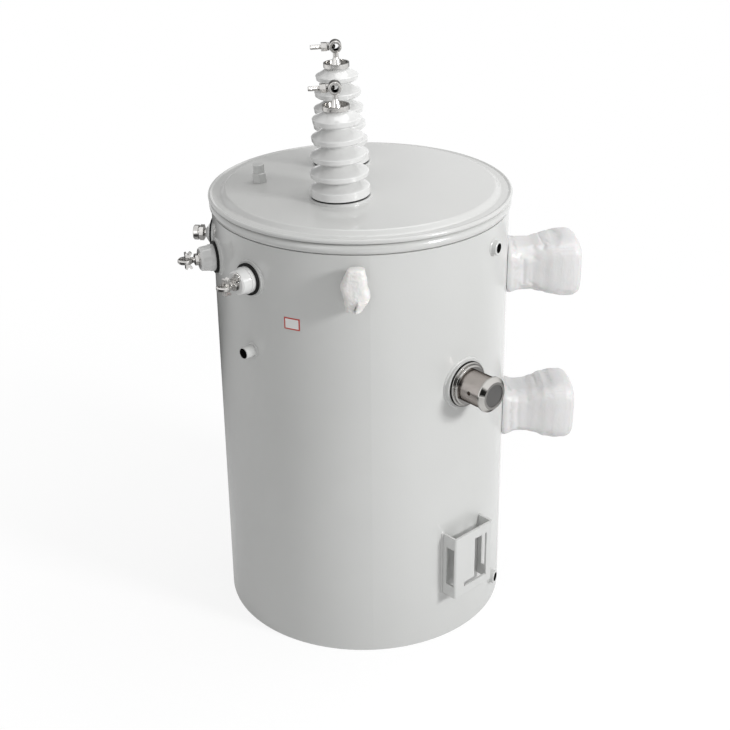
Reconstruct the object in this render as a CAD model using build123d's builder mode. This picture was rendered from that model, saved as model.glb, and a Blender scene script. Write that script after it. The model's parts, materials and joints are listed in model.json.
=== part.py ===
from build123d import *
import os
from math import cos, sin, radians, sqrt

os.makedirs("parts", exist_ok=True)

# Pole mounted single-phase transformer.  Millimetres, +Z up, origin on the tank axis at the base.
# +Y is the pole side, where the two support lugs are; -Y is the low-voltage side.

# tank
tank_radius = 260.0
tank_wall = 3.0
tank_height = 769.0
bottom_plate = 5.0
bead_height = 18.0
bead_bulge = 3.5
bead_depth = 13.0
bead_rounding = 8.0

# cover and its gasket
cover_gasket_thickness = 1.5
cover_gasket_inset = 2.5
cover_gasket_width = 7.0
cover_sheet = 3.0
lip_overhang = 5.0
lip_height = 8.5
lip_rounding = 3.8
channel_inset = 16.0
channel_floor = 7.0
shoulder_inset = 24.0
shoulder_rise = 15.0
dome_rise = 10.5
shoulder_rounding = 5.0
pad_radius = 52.5
pad_edge = 0.6
pad_rise = 0.8

# how far a fitting starts inside the wall before it is trimmed, and a nut inside what it grips
wall_sink = 2.0
nut_sink = 0.5

# core, coils and oil under the cover
fill_clearance = 0.5
fill_below_rim = 24.0

# high-voltage bushings: each leans towards the low-voltage side
hv_spacing = 186.0
hv_line_y = -33.0
hv_line_turn = -3.0
hv_lean = 2.0
hv_gasket_thickness = 3.0
hv_gasket_radius = 49.0
hv_gasket_bore = 30.0
hv_base_radius = 50.2
hv_base_height = 14.0
hv_base_edge = 1.8
hv_base_dish = 6.0
hv_front = {"first_shed": 40.2, "pitch": 30.5, "sheds": (49.5, 46.8, 43.8, 40.6)}
hv_rear = {"first_shed": 40.2, "pitch": 28.8, "sheds": (49.4, 46.8, 44.2, 41.4, 37.8)}
shed_rim_height = 10.5
shed_rim_taper = 0.8
shed_edge = 1.5
shed_under_edge = 4.0
shed_undercut = 2.5
shed_flare = 13.0
shed_flare_share = 0.5
shed_flare_rise = 5.2
core_share = 0.54
hv_neck_radius = 17.2
hv_neck_height = 12.5
hv_cap_radius = 22.8
hv_cap_height = 7.5
hv_cap_wall = 3.2
hv_cap_floor = 3.0
hv_eye = {
    "foot_radius": 10.0,
    "foot_height": 14.0,
    "stem_radius": 4.8,
    "eye_height": 33.0,
    "eye_radius": 10.8,
    "eye_bore": 6.2,
    "eye_width": 18.0,
    "eye_edge": 1.2,
    "screw_radius": 3.7,
    "screw_end": 43.0,
    "washer_radius": 6.4,
    "washer_length": 4.0,
    "nut_flats": 14.0,
    "nut_length": 10.0,
}

# low-voltage bushings
lv_azimuth = -48.0
lv_spacing = -26.2
lv_below_rim = 67.0
lv_flange_radius = 30.5
lv_flange_bore = 21.0
lv_flange_reach = 4.0
lv_gasket_radius = 27.5
lv_gasket_bore = 12.0
lv_gasket_thickness = 4.0
lv_base_radius = 23.2
lv_base_length = 7.0
lv_body_radius = 22.4
lv_tip_radius = 20.6
lv_length = 25.0
lv_edge = 2.5
lv_eye = {
    "washer_radius": 11.5,
    "washer_length": 2.0,
    "nut_flats": 18.0,
    "nut_length": 6.0,
    "stem_radius": 4.8,
    "stem_length": 19.0,
    "eye_height": 24.0,
    "eye_radius": 13.4,
    "eye_width": 7.4,
    "eye_edge": 1.8,
    "bore": 5.0,
    "bore_offset": 6.4,
    "jaw_width": 8.5,
}
# corners of the saddle's upper fork: distance outward from the eye's centre and height; the
# lower fork mirrors it
saddle_fork = (
    (-7.6, 0.0),
    (-7.6, 8.0),
    (-11.4, 13.4),
    (-8.6, 15.4),
    (-4.2, 11.0),
    (-1.8, 15.4),
    (1.0, 14.4),
    (0.6, 8.0),
    (0.6, 0.0),
)
neutral_base_radius = 19.5
neutral_base_length = 3.0
neutral_tip_radius = 8.5
neutral_length = 11.0
neutral_stem_radius = 6.0
neutral_stem_length = 4.0
neutral_nut_flats = 25.0
neutral_nut_length = 7.0
neutral_gap_radius = 10.5
neutral_gap_length = 2.5
neutral_clamp_radius = 13.3
neutral_clamp_length = 9.0
neutral_clamp_edge = 1.5

# threaded pipe coupling on the low-voltage side
coupling_azimuth = -48.5
coupling_below_rim = 198.5
coupling_radius = 11.0
coupling_bore = 8.9
coupling_reach = 22.0
coupling_hole_margin = 0.5

# threaded ground bosses
boss_radius = 12.5
boss_bore = 8.4
boss_reach = 10.0
boss_depth = 9.0
boss_edge = 1.0
upper_boss_azimuth = 56.0
upper_boss_below_rim = 37.0
lower_boss_azimuth = 63.0
lower_boss_height = 54.0

# tap changer operator under its bright cap
tap_azimuth = 39.0
tap_below_rim = 261.0
tap_ring_radius = 44.5
tap_ring_bore = 26.0
tap_ring_reach = 5.0
tap_gasket_radius = 41.0
tap_gasket_thickness = 2.5
tap_flange_radius = 40.0
tap_flange_thickness = 3.5
tap_step_radius = 36.0
tap_step_thickness = 4.5
tap_groove_radius = 27.0
tap_groove_length = 2.0
tap_body_radius = 28.8
tap_body_length = 43.5
tap_end_radius = 31.6
tap_end_length = 11.0
tap_flange_edge = 1.5
tap_step_edge = 2.0
tap_bevel = 7.0
tap_end_edge = 1.2
tap_face_recess = 1.2
tap_face_radius = 20.0
tap_hole_radius = 3.6
tap_hole_depth = 9.0
tap_hole_from_step = 22.0
tap_hole_turn = 174.0

# channel bracket low on the tank
bracket_azimuth = 40.0
bracket_reach = 28.0
bracket_width = 97.0
bracket_bottom = 97.0
bracket_top = 222.0
bracket_sheet = 4.0
bracket_bend = 5.0
slot_left = 2.0
slot_right = 33.0
slot_bottom = 114.0
slot_top = 203.0
slot_foot_left = -25.0
slot_foot_height = 9.0
window_bottom = 121.0
window_top = 198.0
window_reach = 5.7

# lifting lugs, each under a plastic wrap
lifting_azimuth = -4.9
lifting_below_rim = 53.0
lifting_thickness = 12.0
lifting_width = 40.0
lifting_breadth = 28.0
lifting_reach = 26.0
lifting_hook_share = 0.7
lifting_wrap_margin = 0.5
# film round a lifting lug: height from the lug's, width and depth of its section
lifting_wrap_sections = (
    (-34.0, lifting_breadth - 2.0, lifting_reach - 4.0),
    (-14.0, lifting_breadth + 18.0, lifting_reach + 8.0),
    (8.0, lifting_breadth + 17.0, lifting_reach + 10.0),
    (28.0, lifting_breadth + 8.0, lifting_reach + 8.0),
    (41.0, lifting_breadth - 1.0, lifting_reach - 2.0),
)
wrap_corner_share = 0.4

# pole support lugs, each under a plastic wrap
support_azimuth = 90.0
support_spacing = 285.75
support_below_rim = 124.25
support_width = 76.0
support_height = 56.0
support_sheet = 8.0
support_reach = 106.0
support_bend = 12.0
support_slot_width = 19.0
support_slot_depth = 34.0
wrap_margin = 0.5
wrap_wall_gap = 4.0
# film round a support lug: distance from the wall, width, height and corner radius of its section
support_wrap_sections = (
    (-16.0, support_width + 24.0, support_height + 22.0, 22.0),
    (12.0, support_width + 16.0, support_height + 18.0, 18.0),
    (45.0, support_width + 12.0, support_height + 16.0, 14.0),
    (72.0, support_width + 26.0, support_height + 28.0, 26.0),
    (support_reach - 12.0, support_width + 36.0, support_height + 37.0, 34.0),
    (support_reach + 12.0, support_width + 36.0, support_height + 35.0, 36.0),
    (support_reach + 24.0, support_width + 18.0, support_height + 16.0, 28.0),
)

# relief plug on the cover
plug_x = -9.0
plug_y = -174.0
plug_hex = 23.0
plug_hex_height = 17.0
plug_cap_radius = 10.0
plug_cap_height = 15.0
plug_hex_edge = 1.2
plug_cap_rounding = 2.0

# places that follow from the sizes above
cover_gasket_outer = tank_radius - cover_gasket_inset
cover_gasket_inner = cover_gasket_outer - cover_gasket_width
lip_radius = tank_radius + lip_overhang
channel_inner = tank_radius - channel_inset
shoulder_radius = tank_radius - shoulder_inset
fill_height = tank_height - bottom_plate - fill_below_rim
lv_height = tank_height - lv_below_rim
coupling_height = tank_height - coupling_below_rim
upper_boss_height = tank_height - upper_boss_below_rim
tap_height = tank_height - tap_below_rim
bracket_face = tank_radius + bracket_reach
window_inner = tank_radius + window_reach
lifting_height = tank_height - lifting_below_rim
support_upper_height = tank_height - support_below_rim
support_lower_height = support_upper_height - support_spacing
bead_bottom = tank_height
bead_top = bead_bottom + bead_height
lip_bottom = bead_top + cover_gasket_thickness
dome_edge = lip_bottom + shoulder_rise
dome_top = dome_edge + dome_rise
pad_top = dome_top + pad_rise
support_face = tank_radius + support_reach
up = (0, 0, 1)


def outward(azimuth):
    """Unit vector pointing out of the tank wall."""
    return Vector(cos(radians(azimuth)), sin(radians(azimuth)), 0)


def along(azimuth):
    """Unit vector along the tank wall, anticlockwise from above."""
    return Vector(-sin(radians(azimuth)), cos(radians(azimuth)), 0)


def wall_plane(azimuth, height, reach):
    """Plane facing out of the wall: local x along the wall, local y up."""
    origin = outward(azimuth) * reach + Vector(0, 0, height)
    return Plane(origin=origin, x_dir=along(azimuth), z_dir=outward(azimuth))


def section_plane(azimuth, height):
    """Upright plane through the tank axis: local x is the distance from the axis, local y up."""
    return Plane(origin=(0, 0, height), x_dir=outward(azimuth), z_dir=along(azimuth) * -1)


def hv_seat(side):
    """Plane of a high-voltage bushing's seat on the cover: local x outward along the line of the two
    bushings' cables, local z up its leaning axis.  The side is 1 for the front one and -1 for the rear."""
    turn = radians(hv_line_turn)
    lean = radians(hv_lean)
    offset = side * hv_spacing / 2
    return Plane(
        origin=(offset * cos(turn), hv_line_y + offset * sin(turn), pad_top),
        x_dir=(1, 0, 0),
        z_dir=(0, -sin(lean), cos(lean)),
    )


def fitting_axis(azimuth, height):
    return Axis((0, 0, height), tuple(outward(azimuth)))


def cut_tank():
    """Trims what was just built to seat on the round wall."""
    Cylinder(tank_radius, tank_height, align=(Align.CENTER, Align.CENTER, Align.MIN), mode=Mode.SUBTRACT)


def turned(azimuth, height, outline):
    """Solid turned about a fitting's axis from (distance, radius) corners."""
    with BuildPart() as solid:
        with BuildSketch(section_plane(azimuth, height)):
            with BuildLine():
                Polyline(*outline, close=True)
            make_face()
        revolve(axis=fitting_axis(azimuth, height))
    return solid


def save(builder, name):
    builder.part.label = name
    export_step(builder.part, f"parts/{name}.step")


# --- tank ---
with BuildPart() as tank_shell:
    with BuildSketch():
        Circle(tank_radius)
        Circle(tank_radius - tank_wall, mode=Mode.SUBTRACT)
    extrude(amount=tank_height)
    # the pipe coupling opens into the tank
    with BuildSketch(wall_plane(coupling_azimuth, coupling_height, tank_radius - 2 * tank_wall)):
        Circle(coupling_bore + coupling_hole_margin)
    extrude(amount=3 * tank_wall, mode=Mode.SUBTRACT)
save(tank_shell, "tank_shell")

with BuildPart() as tank_bottom:
    with BuildSketch():
        Circle(tank_radius - tank_wall)
    extrude(amount=bottom_plate)
save(tank_bottom, "tank_bottom")

# rolled bead that stiffens the rim
with BuildPart() as top_bead:
    with BuildSketch(Plane.XZ):
        with BuildLine():
            outer = tank_radius + bead_bulge
            inner = outer - bead_depth
            Line((inner, bead_bottom), (outer - bead_rounding, bead_bottom))
            ThreePointArc(
                (outer - bead_rounding, bead_bottom),
                (outer, bead_bottom + bead_height / 2),
                (outer - bead_rounding, bead_top),
            )
            Line((outer - bead_rounding, bead_top), (inner, bead_top))
            Line((inner, bead_top), (inner, bead_bottom))
        make_face()
    revolve(axis=Axis.Z)
save(top_bead, "top_bead")

with BuildPart() as cover_gasket:
    with BuildSketch(Plane.XY.offset(bead_top)):
        Circle(cover_gasket_outer)
        Circle(cover_gasket_inner, mode=Mode.SUBTRACT)
    extrude(amount=cover_gasket_thickness)
save(cover_gasket, "cover_gasket")

with BuildPart() as core_oil_fill:
    with BuildSketch(Plane.XY.offset(bottom_plate)):
        Circle(tank_radius - tank_wall - fill_clearance)
    extrude(amount=fill_height)
save(core_oil_fill, "core_oil_fill")


# --- cover: pressed sheet with a rolled lip, a channel and a raised dome ---
dome_radius = (shoulder_radius**2 + dome_rise**2) / (2 * dome_rise)


def dome_height(distance, depth=0.0):
    """Height of the dome at a distance from the axis, or of a surface that deep under it."""
    return dome_top - dome_radius + sqrt((dome_radius - depth) ** 2 - distance**2)


with BuildPart() as cover:
    with BuildSketch(Plane.YZ):
        half = shoulder_radius / 2
        channel = lip_bottom + channel_floor
        with BuildLine():
            ThreePointArc((0, dome_top), (half, dome_height(half)), (shoulder_radius, dome_edge))
            Line((shoulder_radius, dome_edge), (channel_inner, channel))
            Line((channel_inner, channel), (lip_radius - 2 * lip_rounding, channel))
            lip_top = (lip_radius - lip_rounding, lip_bottom + lip_height)
            Line((lip_radius - 2 * lip_rounding, channel), lip_top)
            ThreePointArc(
                lip_top,
                (lip_radius, lip_bottom + lip_height / 2),
                (lip_radius - lip_rounding, lip_bottom),
            )
            Line((lip_radius - lip_rounding, lip_bottom), (channel_inner, lip_bottom))
            under_radius = shoulder_radius - cover_sheet
            under_edge = (under_radius, dome_height(under_radius, cover_sheet))
            Line((channel_inner, lip_bottom), under_edge)
            ThreePointArc(under_edge, (half, dome_height(half, cover_sheet)), (0, dome_top - cover_sheet))
            Line((0, dome_top - cover_sheet), (0, dome_top))
        make_face()
    revolve(axis=Axis.Z)
    shoulder = edges().filter_by(GeomType.CIRCLE).filter_by(
        lambda e: abs(e.radius - shoulder_radius) < 0.01 or abs(e.radius - channel_inner) < 0.01
    )
    fillet([e for e in shoulder if e.center().Z > lip_bottom + cover_sheet], shoulder_rounding)
    # seats that lift the high-voltage bushings off the dome
    with Locations(hv_seat(1), hv_seat(-1)):
        Cylinder(
            pad_radius,
            pad_top - dome_edge - cover_sheet,
            align=(Align.CENTER, Align.CENTER, Align.MAX),
        )
    pad_rims = edges().filter_by(GeomType.CIRCLE).filter_by(lambda e: abs(e.radius - pad_radius) < 0.01)
    chamfer([e for e in pad_rims if e.center().Z > pad_top - pad_edge], pad_edge)
save(cover, "cover")


# --- high-voltage bushings ---
def insulator(seat, spec):
    """Porcelain with thin-rimmed sheds, turned from one outline that repeats shed by shed."""
    base = hv_gasket_thickness
    corner = base + hv_base_height
    outline = Plane(origin=seat.origin, x_dir=seat.x_dir, z_dir=seat.y_dir * -1)
    with BuildPart() as porcelain:
        with BuildSketch(outline):
            with BuildLine():
                Line((0, base), (hv_base_radius, base))
                Line((hv_base_radius, base), (hv_base_radius, corner - hv_base_edge))
                last = (hv_base_radius - hv_base_edge, corner)
                Line((hv_base_radius, corner - hv_base_edge), last)
                for index, rim in enumerate(spec["sheds"]):
                    level = base + spec["first_shed"] + index * spec["pitch"]
                    core = rim * core_share
                    foot = (core, last[1] + shed_flare)
                    bend = (core + (last[0] - core) * shed_flare_share, last[1] + shed_flare_rise)
                    ThreePointArc(last, bend, foot)
                    root = (core, level - shed_rim_height + shed_undercut)
                    Line(foot, root)
                    under = (rim - shed_under_edge, level - shed_rim_height)
                    Line(root, under)
                    side = (rim - shed_rim_taper, level - shed_rim_height + shed_undercut)
                    Line(under, side)
                    Line(side, (rim, level - shed_edge))
                    last = (rim - shed_edge, level)
                    Line((rim, level - shed_edge), last)
                top = level + hv_neck_height
                neck = (hv_neck_radius, top)
                bend = (
                    hv_neck_radius + (last[0] - hv_neck_radius) * shed_flare_share,
                    level + shed_flare_rise,
                )
                ThreePointArc(last, bend, neck)
                Line(neck, (0, top))
                Line((0, top), (0, base))
            make_face()
        revolve(axis=Axis(seat.origin, seat.z_dir))
    return porcelain, top


def eye_clamp(seat, size):
    """Terminal stem with a cable eye and a clamping screw.  The seat plane's z is the stem, its x
    the way the cable passes, and the screw points along its -y."""
    eye_centre = seat.origin + seat.z_dir * size["eye_height"]
    eye = Plane(origin=eye_centre, x_dir=seat.y_dir, z_dir=seat.x_dir)
    screw = Plane(origin=eye_centre, x_dir=seat.x_dir, z_dir=seat.y_dir * -1)
    with BuildPart() as clamp:
        with BuildSketch(eye):
            Circle(size["eye_radius"])
        extrude(amount=size["eye_width"] / 2, both=True)
        chamfer(edges().filter_by(GeomType.CIRCLE), size["eye_edge"])
        with Locations(seat):
            Cone(
                size["foot_radius"],
                size["stem_radius"],
                size["foot_height"],
                align=(Align.CENTER, Align.CENTER, Align.MIN),
            )
        with BuildSketch(seat):
            Circle(size["stem_radius"])
        extrude(amount=size["eye_height"] - size["eye_bore"])
        with BuildSketch(eye):
            Circle(size["eye_bore"])
        extrude(amount=size["eye_width"], both=True, mode=Mode.SUBTRACT)
        with BuildSketch(screw.offset(size["eye_bore"])):
            Circle(size["screw_radius"])
        extrude(amount=size["screw_end"] - size["eye_bore"])
        with BuildSketch(screw.offset(size["eye_radius"] - nut_sink)):
            Circle(size["washer_radius"])
        extrude(amount=size["washer_length"] + nut_sink)
        with BuildSketch(screw.offset(size["eye_radius"] + size["washer_length"])):
            RegularPolygon(size["nut_flats"] / 2, 6, major_radius=False)
        extrude(amount=size["nut_length"])
    return clamp


def hv_terminal(label, side, spec):
    """One high-voltage bushing with its gasket, porcelain, metal cap and clamp."""
    seat = hv_seat(side)
    with BuildPart() as gasket:
        with BuildSketch(seat):
            Circle(hv_gasket_radius)
            Circle(hv_gasket_bore, mode=Mode.SUBTRACT)
        extrude(amount=hv_gasket_thickness)
    save(gasket, f"hv_gasket_{label}")
    porcelain, top = insulator(seat, spec)
    save(porcelain, f"hv_porcelain_{label}")
    with BuildPart() as cap:
        with BuildSketch(seat.offset(top)):
            Circle(hv_cap_radius)
        extrude(amount=hv_cap_height)
        with BuildSketch(seat.offset(top + hv_cap_floor)):
            Circle(hv_cap_radius - hv_cap_wall)
        extrude(amount=hv_cap_height, mode=Mode.SUBTRACT)
    save(cap, f"hv_cap_{label}")
    save(eye_clamp(seat.offset(top + hv_cap_floor), hv_eye), f"hv_clamp_{label}")


hv_terminal("front", 1, hv_front)
hv_terminal("rear", -1, hv_rear)


# --- low-voltage bushings ---
def lv_flange(azimuth):
    """Painted ring welded to the wall round a bushing."""
    with BuildPart() as flange:
        with BuildSketch(wall_plane(azimuth, lv_height, tank_radius - lv_flange_reach)):
            Circle(lv_flange_radius)
            Circle(lv_flange_bore, mode=Mode.SUBTRACT)
        extrude(amount=2 * lv_flange_reach)
        cut_tank()
    return flange


def lv_gasket(azimuth):
    with BuildPart() as gasket:
        with BuildSketch(wall_plane(azimuth, lv_height, tank_radius + lv_flange_reach)):
            Circle(lv_gasket_radius)
            Circle(lv_gasket_bore, mode=Mode.SUBTRACT)
        extrude(amount=lv_gasket_thickness)
    return gasket


def ring_clamp(seat, size):
    """Stud with a flat cable eye whose bore stands upright, and a saddle forked at both ends.  The
    seat plane's z is the stud and its y is up."""
    eye_centre = seat.origin + seat.z_dir * size["eye_height"]
    eye = Plane(origin=eye_centre, x_dir=seat.z_dir, z_dir=seat.y_dir)
    side = Plane(origin=eye_centre, x_dir=seat.z_dir, z_dir=seat.x_dir * -1)
    with BuildPart() as clamp:
        with BuildSketch(eye):
            Circle(size["eye_radius"])
        extrude(amount=size["eye_width"] / 2, both=True)
        chamfer(edges().filter_by(GeomType.CIRCLE), size["eye_edge"])
        for sign in (1, -1):
            with BuildSketch(side):
                with BuildLine():
                    Polyline(*((x, sign * y) for x, y in saddle_fork), close=True)
                make_face()
            extrude(amount=size["jaw_width"] / 2, both=True)
        with BuildSketch(seat):
            Circle(size["stem_radius"])
        extrude(amount=size["stem_length"])
        with BuildSketch(seat):
            Circle(size["washer_radius"])
        extrude(amount=size["washer_length"])
        with BuildSketch(seat.offset(size["washer_length"])):
            RegularPolygon(size["nut_flats"] / 2, 6, major_radius=False)
        extrude(amount=size["nut_length"])
        with BuildSketch(eye):
            with Locations((size["bore_offset"], 0)):
                Circle(size["bore"])
        extrude(amount=2 * size["eye_width"], both=True, mode=Mode.SUBTRACT)
    return clamp


lv_seat = tank_radius + lv_flange_reach + lv_gasket_thickness
for label, index in (("a", 0), ("b", 1)):
    azimuth = lv_azimuth + index * lv_spacing
    save(lv_flange(azimuth), f"lv_flange_{label}")
    save(lv_gasket(azimuth), f"lv_gasket_{label}")
    tip = lv_seat + lv_length
    outline = [
        (lv_seat, 0),
        (lv_seat, lv_base_radius),
        (lv_seat + lv_base_length, lv_base_radius),
        (lv_seat + lv_base_length, lv_body_radius),
        (tip - lv_edge, lv_tip_radius),
        (tip, lv_tip_radius - lv_edge),
        (tip, 0),
    ]
    save(turned(azimuth, lv_height, outline), f"lv_porcelain_{label}")
    seat = Plane(
        origin=outward(azimuth) * tip + Vector(0, 0, lv_height),
        x_dir=along(azimuth),
        z_dir=outward(azimuth),
    )
    save(ring_clamp(seat, lv_eye), f"lv_clamp_{label}")

azimuth = lv_azimuth + 2 * lv_spacing
save(lv_flange(azimuth), "lv_flange_c")
save(lv_gasket(azimuth), "lv_gasket_c")
tip = lv_seat + neutral_length
outline = [
    (lv_seat, 0),
    (lv_seat, neutral_base_radius),
    (lv_seat + neutral_base_length, neutral_base_radius),
    (tip, neutral_tip_radius),
    (tip, 0),
]
save(turned(azimuth, lv_height, outline), "lv_porcelain_c")
nut_start = tip + neutral_stem_length
gap_start = nut_start + neutral_nut_length
clamp_start = gap_start + neutral_gap_length
clamp_end = clamp_start + neutral_clamp_length
outline = [
    (tip, 0),
    (tip, neutral_stem_radius),
    (gap_start, neutral_stem_radius),
    (gap_start, neutral_gap_radius),
    (clamp_start, neutral_gap_radius),
    (clamp_start, neutral_clamp_radius),
    (clamp_end - neutral_clamp_edge, neutral_clamp_radius),
    (clamp_end, neutral_clamp_radius - neutral_clamp_edge),
    (clamp_end, 0),
]
with BuildPart() as neutral_clamp:
    with BuildSketch(section_plane(azimuth, lv_height)):
        with BuildLine():
            Polyline(*outline, close=True)
        make_face()
    revolve(axis=fitting_axis(azimuth, lv_height))
    with BuildSketch(wall_plane(azimuth, lv_height, nut_start)):
        RegularPolygon(neutral_nut_flats / 2, 6, major_radius=False)
    extrude(amount=neutral_nut_length)
save(neutral_clamp, "lv_clamp_c")

# --- pipe coupling ---
with BuildPart() as coupling:
    with BuildSketch(wall_plane(coupling_azimuth, coupling_height, tank_radius - wall_sink)):
        Circle(coupling_radius)
        Circle(coupling_bore, mode=Mode.SUBTRACT)
    extrude(amount=coupling_reach + wall_sink)
    cut_tank()
save(coupling, "pipe_coupling")


# --- ground bosses ---
def ground_boss(azimuth, height):
    with BuildPart() as boss:
        with BuildSketch(wall_plane(azimuth, height, tank_radius - wall_sink)):
            Circle(boss_radius)
        extrude(amount=boss_reach + wall_sink)
        chamfer(edges().filter_by(GeomType.CIRCLE), boss_edge)
        cut_tank()
        with BuildSketch(wall_plane(azimuth, height, tank_radius + boss_reach - boss_depth)):
            Circle(boss_bore)
        extrude(amount=boss_depth, mode=Mode.SUBTRACT)
    return boss


save(ground_boss(upper_boss_azimuth, upper_boss_height), "ground_boss_upper")
save(ground_boss(lower_boss_azimuth, lower_boss_height), "ground_boss_lower")

# --- tap changer fitting ---
with BuildPart() as tap_ring:
    with BuildSketch(wall_plane(tap_azimuth, tap_height, tank_radius - tap_ring_reach)):
        Circle(tap_ring_radius)
        Circle(tap_ring_bore, mode=Mode.SUBTRACT)
    extrude(amount=2 * tap_ring_reach)
    cut_tank()
save(tap_ring, "tap_ring")

tap_gasket_start = tank_radius + tap_ring_reach
with BuildPart() as tap_gasket:
    with BuildSketch(wall_plane(tap_azimuth, tap_height, tap_gasket_start)):
        Circle(tap_gasket_radius)
        Circle(tap_ring_bore, mode=Mode.SUBTRACT)
    extrude(amount=tap_gasket_thickness)
save(tap_gasket, "tap_gasket")

flange_start = tap_gasket_start + tap_gasket_thickness
step_start = flange_start + tap_flange_thickness
body_start = step_start + tap_step_thickness
outline = [
    (flange_start, 0),
    (flange_start, tap_flange_radius),
    (step_start - tap_flange_edge, tap_flange_radius),
    (step_start, tap_flange_radius - tap_flange_edge),
    (step_start, tap_step_radius),
    (body_start - tap_step_edge, tap_step_radius),
    (body_start, tap_step_radius - tap_step_edge),
    (body_start, 0),
]
save(turned(tap_azimuth, tap_height, outline), "tap_flange")

body_end = body_start + tap_body_length
cap_end = body_end + tap_end_length
outline = [
    (body_start, 0),
    (body_start, tap_groove_radius),
    (body_start + tap_groove_length, tap_groove_radius),
    (body_start + tap_groove_length, tap_body_radius),
    (body_end, tap_body_radius),
    (body_end, tap_end_radius - tap_end_edge),
    (body_end + tap_end_edge, tap_end_radius),
    (cap_end - tap_bevel, tap_end_radius),
    (cap_end, tap_end_radius - tap_bevel),
    (cap_end, tap_face_radius),
    (cap_end - tap_face_recess, tap_face_radius),
    (cap_end - tap_face_recess, 0),
]
hole_direction = along(tap_azimuth) * cos(radians(tap_hole_turn)) + Vector(up) * sin(radians(tap_hole_turn))
hole_centre = outward(tap_azimuth) * (body_start + tap_hole_from_step) + Vector(0, 0, tap_height)
hole_plane = Plane(
    origin=hole_centre + hole_direction * tap_body_radius,
    x_dir=outward(tap_azimuth),
    z_dir=hole_direction * -1,
)
with BuildPart() as tap_cap:
    with BuildSketch(section_plane(tap_azimuth, tap_height)):
        with BuildLine():
            Polyline(*outline, close=True)
        make_face()
    revolve(axis=fitting_axis(tap_azimuth, tap_height))
    # locking hole in the side of the cap
    with BuildSketch(hole_plane):
        Circle(tap_hole_radius)
    extrude(amount=tap_hole_depth, mode=Mode.SUBTRACT)
save(tap_cap, "tap_cap")

# --- channel bracket: bent sheet with an L-shaped opening in its face and windows in its legs ---
with BuildPart() as bracket:
    base = Plane(origin=(0, 0, bracket_bottom), x_dir=along(bracket_azimuth) * -1, z_dir=up)
    leg_start = sqrt(tank_radius**2 - (bracket_width / 2) ** 2) - bracket_bend
    with BuildSketch(base):
        with Locations((0, leg_start)):
            Rectangle(bracket_width, bracket_face - leg_start, align=(Align.CENTER, Align.MIN))
        fillet(vertices().group_by(Axis.Y)[-1], bracket_bend)
        with Locations((0, leg_start)):
            Rectangle(
                bracket_width - 2 * bracket_sheet,
                bracket_face - bracket_sheet - leg_start,
                align=(Align.CENTER, Align.MIN),
                mode=Mode.SUBTRACT,
            )
    extrude(amount=bracket_top - bracket_bottom)
    with BuildSketch(wall_plane(bracket_azimuth, 0, bracket_face - bracket_sheet)):
        with Locations((slot_left, slot_bottom)):
            Rectangle(slot_right - slot_left, slot_top - slot_bottom, align=(Align.MIN, Align.MIN))
        with Locations((slot_foot_left, slot_bottom)):
            Rectangle(slot_right - slot_foot_left, slot_foot_height, align=(Align.MIN, Align.MIN))
    extrude(amount=2 * bracket_sheet, both=True, mode=Mode.SUBTRACT)
    with BuildSketch(section_plane(bracket_azimuth, 0)):
        with Locations((window_inner, window_bottom)):
            Rectangle(
                bracket_face - bracket_sheet - window_inner,
                window_top - window_bottom,
                align=(Align.MIN, Align.MIN),
            )
    extrude(amount=bracket_width, both=True, mode=Mode.SUBTRACT)
    cut_tank()
save(bracket, "channel_bracket")


# --- lifting lugs: bent strap with an eye ---
lifting_outline = (
    (tank_radius - lifting_thickness, lifting_height - lifting_width / 2),
    (tank_radius + lifting_thickness, lifting_height - lifting_width / 2),
    (tank_radius + lifting_thickness, lifting_height),
    (tank_radius + lifting_reach, lifting_height + lifting_width / 2),
    (tank_radius + lifting_reach - lifting_thickness, lifting_height + lifting_width * lifting_hook_share),
    (tank_radius - lifting_thickness, lifting_height + lifting_thickness / 2),
)


def lifting_lug(azimuth):
    with BuildPart() as lug:
        with BuildSketch(section_plane(azimuth, 0)):
            with BuildLine():
                Polyline(*lifting_outline, close=True)
            make_face()
        extrude(amount=lifting_breadth / 2, both=True)
        cut_tank()
    return lug


def lifting_wrap(azimuth):
    """Plastic film round a lifting lug, as one closed solid with room for the lug."""
    with BuildPart() as wrap:
        for rise, width, depth in lifting_wrap_sections:
            level = lifting_height + rise
            with BuildSketch(Plane(origin=(0, 0, level), x_dir=along(azimuth) * -1, z_dir=up)):
                with Locations((0, tank_radius + wrap_wall_gap / 2 + depth / 2)):
                    RectangleRounded(width, depth, min(width, depth) * wrap_corner_share)
        loft()
        with BuildSketch(section_plane(azimuth, 0)):
            with BuildLine():
                Polyline(*lifting_outline, close=True)
            make_face()
            offset(amount=lifting_wrap_margin, kind=Kind.INTERSECTION)
        extrude(amount=lifting_breadth / 2 + lifting_wrap_margin, both=True, mode=Mode.SUBTRACT)
    return wrap


for label, turn in (("right", 0), ("left", 180)):
    save(lifting_lug(lifting_azimuth + turn), f"lifting_lug_{label}")
    save(lifting_wrap(lifting_azimuth + turn), f"lifting_wrap_{label}")


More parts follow.
